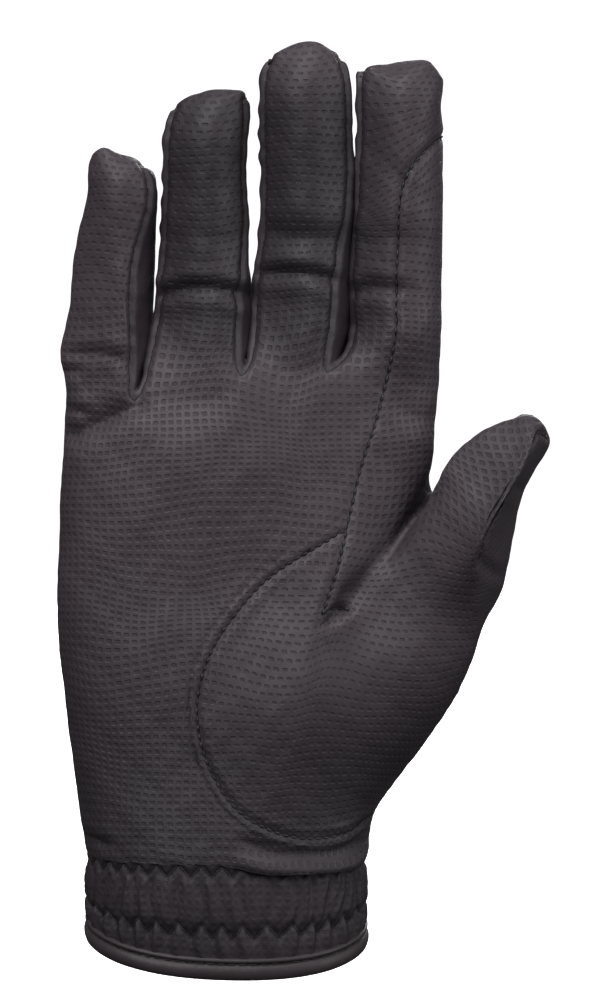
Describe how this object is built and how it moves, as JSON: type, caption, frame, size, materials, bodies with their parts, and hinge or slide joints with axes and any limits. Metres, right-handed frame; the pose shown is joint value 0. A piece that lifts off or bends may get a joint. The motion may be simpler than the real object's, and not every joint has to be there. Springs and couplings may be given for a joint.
{
  "type": "horse riding glove",
  "caption": "Right-hand riding glove of thin embossed synthetic leather with set-in thumb, finger side strips, gathered wrist and bound hem.",
  "frame": {"origin": "centre of the wrist opening, at the level of the hem's sides", "axes": "+Z along the fingers, -Y out of the palm, +X towards the thumb"},
  "size_m": [0.1208, 0.0512, 0.2241],
  "materials": {
    "embossed_leather": "matte black synthetic leather embossed with small pits",
    "back_leather": "matte black synthetic leather with fine grain",
    "strip_leather": "smooth black synthetic leather",
    "gathered_leather": "gathered soft black synthetic leather with two rows of zigzag stitches",
    "binding_leather": "smooth rolled black binding"
  },
  "bodies": {
    "root": {"palm_panel": "embossed_leather", "back_panel": "back_leather", "fourchette_ring_little": "strip_leather", "fourchette_middle_ring": "strip_leather", "fourchette_index_middle": "strip_leather", "index_side_panel": "embossed_leather", "thumb_front_panel": "embossed_leather", "thumb_back_panel": "back_leather", "wrist_cuff": "gathered_leather", "hem_binding": "binding_leather"}
  },
  "joints": []
}
